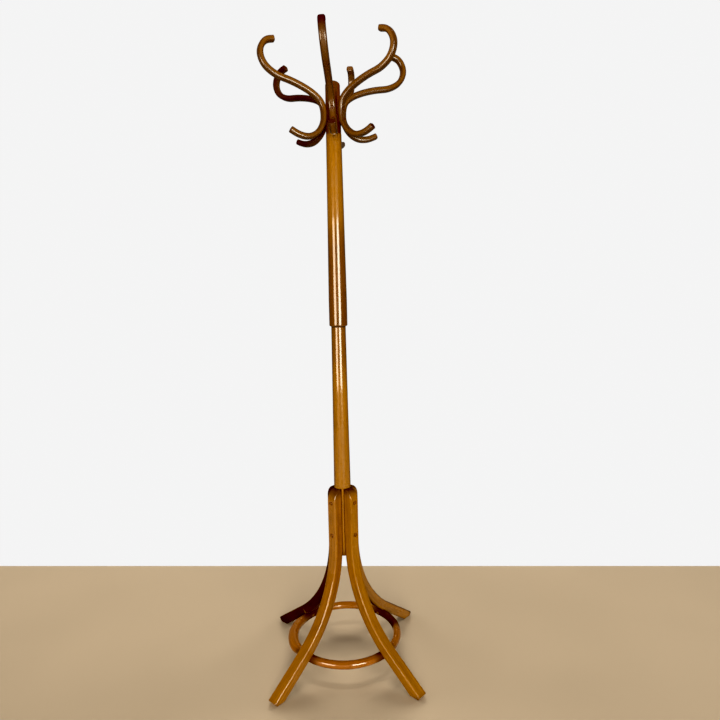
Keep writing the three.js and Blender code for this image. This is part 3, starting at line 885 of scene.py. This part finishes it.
def upper_pole():
    bottom = SWIVEL_HEIGHT + WASHER_THICKNESS + 2 * GAP
    socket, socket_top = SPIGOT_RADIUS + SOCKET_CLEARANCE, SWIVEL_HEIGHT + SPIGOT_LENGTH + 3
    profile = [(0, socket_top), (socket, socket_top), (socket, bottom), (UPPER_LIP_RADIUS, bottom),
               (UPPER_LIP_RADIUS, UPPER_SWELL_TOP), UPPER_MIDDLE, UPPER_NECK]
    profile = subdivided(rounded(profile, [0, 0, 0.8, 4.6, 700, 900, 0], 7), 40)
    dome = [(UPPER_HEAD_RADIUS * math.cos(a), UPPER_TOP - DOME_HEIGHT + DOME_HEIGHT * math.sin(a))
            for a in np.linspace(0, math.pi / 2, 14)]
    dome[-1] = (0, UPPER_TOP)
    profile = profile + subdivided([UPPER_NECK, dome[0]], 40)[1:] + dome[1:]
    points, faces = lathe(profile, 96)
    height = points[:, 2]
    # painted shade on the head between the arms, dark and matte
    end_grain_and_shade = (0.5 * rising(height, HEAD_DARK_BOTTOM, 5)
            + 0.35 * fading(height, HEAD_DARK_TOP, 8) * (height > HEAD_BOTTOM))
    # painted shade: darker below UPPER_DARK round the pole's long highlights, and on the head between the
    # arms
    painted_shade = 0.85 * fading(height, UPPER_DARK, 18) + 0.75 * rising(height, HEAD_DARK_BOTTOM, 9)
    obj = make_object("turned_upper_pole", points, faces, straight_grain(points, UPPER_GRAIN), end_grain_and_shade=end_grain_and_shade,
                      painted_shade=painted_shade)
    outward(obj)
    cutters = []
    for bearing, lean, nod, lift in ARMS.values():
        low, high = (HEAD_FLAT, -30, HEAD_FLAT_BOTTOM), (HEAD_FLAT + 20, 30, UPPER_TOP + 20)
        # painted shade on the flats under the arms
        cutters.append(box_cutter(low, high, turn_z(bearing), UPPER_GRAIN, HEAD_FLAT_SHADE))
        matrix = arm_matrix(bearing, lean, nod, lift)
        turn, shift = np.array(matrix.to_3x3()), np.array(matrix.translation) / MM
        head = arm_seat(nod) + ARM_THICKNESS - ARM_SCREW[1]
        cutters += arm_screw_cutters(head, turn, shift)
    carve(obj, cutters)
    shade(obj)
    finish_piece(obj, "crown", "pole_wood", POLE_WOOD, "upper_pole")


lower_pole()
washer_piece()
upper_pole()
ring_piece()
for number, (place, degrees) in enumerate(LEG_BEARINGS.items(), 1):
    leg_piece(place, degrees, number)
for number, (place, pose) in enumerate(ARMS.items(), 1):
    arm_piece(place, pose, number)

# ---------------------------------------------------------------- floor, light and camera


BACKDROP = (0.765, 0.765, 0.765)
ROOM_GLOW = 0.09
WALL_GLOW = 0.03
FLOOR_REACH, FLOOR_FAR_EDGE, FLOOR_SKEW = 3500, 616, -0.0793
CAMERA_PLACE = (0, -1.799, 1.2)  # metres
CAMERA_PITCH, CAMERA_YAW, CAMERA_ROLL = 0.12099, 0.03591, -0.02047  # radians
CAMERA_LENS = 29.027
SUN, CREAM, IVORY, PANEL = (1.0, 0.84, 0.64), (1.0, 0.90, 0.74), (1.0, 0.96, 0.82), (1.0, 0.92, 0.80)


def floor_material():
    n = Nodes("pale_floor")
    place = n.add("ShaderNodeTexCoord").outputs["Object"]
    cloud = n.noise(place, (1.3, 1.3, 1.3), 2, 0.5)
    colour = n.ramp(cloud, FLOOR_STOPS)
    shader = n.add("ShaderNodeBsdfPrincipled", Base_Color=colour, Roughness=0.7)
    return n.finish(shader)


def make_floor():
    """A floor whose far edge, where the wall stands, runs a little askew behind the stand."""
    reach, far, skew = FLOOR_REACH, FLOOR_FAR_EDGE, FLOOR_SKEW
    corners = [(-reach, -reach, 0), (reach, -reach, 0), (reach, far + skew * reach, 0),
               (-reach, far - skew * reach, 0)]
    floor = make_object("floor", corners, [[0, 1, 2, 3]])
    floor.data.materials.append(floor_material())


def area_light(name, azimuth, elevation, distance, size, radiance, colour, height=1.1, diffuse=True,
               glossy=True):
    """A soft panel at an azimuth right of the camera side and an elevation, seen from the stand's axis.

    A panel without diffuse only shows in the varnish, and one without glossy only lights the surfaces.
    """
    a, e = math.radians(azimuth), math.radians(elevation)
    target = Vector((0, 0, height))
    back = Vector((math.sin(a) * math.cos(e), -math.cos(a) * math.cos(e), math.sin(e)))
    data = bpy.data.lights.new(name, "AREA")
    data.shape = "RECTANGLE"
    data.size, data.size_y = size
    data.energy = radiance * math.pi * size[0] * size[1]
    data.color = colour
    light = bpy.data.objects.new(name, data)
    light.location = target + back * distance
    light.rotation_mode = "QUATERNION"
    light.rotation_quaternion = back.to_track_quat("Z", "Y")
    light.visible_diffuse = diffuse
    light.visible_glossy = glossy
    bpy.context.scene.collection.objects.link(light)


def make_world():
    """A pale backdrop for the camera; for the stand, a dim room with a brighter wall behind."""
    world = bpy.data.worlds.new("studio")
    bpy.context.scene.world = world
    world.use_nodes = True
    tree = world.node_tree
    tree.nodes.clear()

    def add(kind, **settings):
        node = tree.nodes.new(kind)
        for key, value in settings.items():
            setattr(node, key, value)
        return node

    seen = add("ShaderNodeBackground")
    seen.inputs["Color"].default_value = (*BACKDROP, 1)
    sides = add("ShaderNodeSeparateXYZ")
    tree.links.new(add("ShaderNodeTexCoord").outputs["Generated"], sides.inputs[0])
    toward_wall = add("ShaderNodeMath", operation="MAXIMUM")
    tree.links.new(sides.outputs["Y"], toward_wall.inputs[0])
    toward_wall.inputs[1].default_value = 0
    squared = add("ShaderNodeMath", operation="POWER")
    tree.links.new(toward_wall.outputs[0], squared.inputs[0])
    squared.inputs[1].default_value = 2
    strength = add("ShaderNodeMath", operation="MULTIPLY_ADD")
    tree.links.new(squared.outputs[0], strength.inputs[0])
    strength.inputs[1].default_value = WALL_GLOW
    strength.inputs[2].default_value = ROOM_GLOW
    fill = add("ShaderNodeBackground")
    fill.inputs["Color"].default_value = (1.0, 0.93, 0.84, 1)
    tree.links.new(strength.outputs[0], fill.inputs["Strength"])
    mix = add("ShaderNodeMixShader")
    tree.links.new(add("ShaderNodeLightPath").outputs["Is Camera Ray"], mix.inputs[0])
    tree.links.new(fill.outputs[0], mix.inputs[1])
    tree.links.new(seen.outputs[0], mix.inputs[2])
    tree.links.new(mix.outputs[0], add("ShaderNodeOutputWorld").inputs[0])


def make_camera():
    pitch, yaw, roll = CAMERA_PITCH, CAMERA_YAW, CAMERA_ROLL
    ahead = Vector((math.sin(yaw) * math.cos(pitch), math.cos(yaw) * math.cos(pitch), -math.sin(pitch)))
    right = Vector((math.cos(yaw), -math.sin(yaw), 0))
    up = right.cross(ahead)
    level_right = math.cos(roll) * right + math.sin(roll) * up
    level_up = -math.sin(roll) * right + math.cos(roll) * up
    data = bpy.data.cameras.new("camera")
    data.sensor_width = 36
    data.lens = CAMERA_LENS
    camera = bpy.data.objects.new("camera", data)
    place = Matrix((level_right, level_up, -ahead)).transposed().to_4x4()
    camera.matrix_world = Matrix.Translation(CAMERA_PLACE) @ place
    bpy.context.scene.collection.objects.link(camera)
    bpy.context.scene.camera = camera


make_floor()
make_world()
area_light("window_left", -35, 0, 3.2, (1.5, 1.46), 11.5, SUN, 1.13, diffuse=False)
area_light("window_right", 23, 0, 3.2, (1.4, 1.46), 14, IVORY, 1.13, diffuse=False)
area_light("room_front", 0, 0, 5.5, (2.75, 2.75), 17, CREAM, 1.15, glossy=False)
area_light("room_rear", 180, 24, 4.5, (2.0, 2.0), 13, PANEL, 1.0, glossy=False)
area_light("room_left", -110, 16, 4.5, (1.6, 2.0), 7, PANEL, 1.0, glossy=False)
area_light("room_right", 110, 16, 4.5, (1.6, 2.0), 7, PANEL, 1.0, glossy=False)
area_light("ceiling_left", -40, 74, 1.6, (0.4, 0.3), 16, PANEL, glossy=False)
area_light("ceiling_right", 40, 74, 1.6, (0.4, 0.3), 16, PANEL, glossy=False)
make_camera()
view = bpy.context.scene.view_settings
view.view_transform = "Standard"
view.look = "Medium High Contrast"
view.use_curve_mapping = True
view.curve_mapping.black_level = (0.015, 0.015, 0.015)
view.curve_mapping.update()
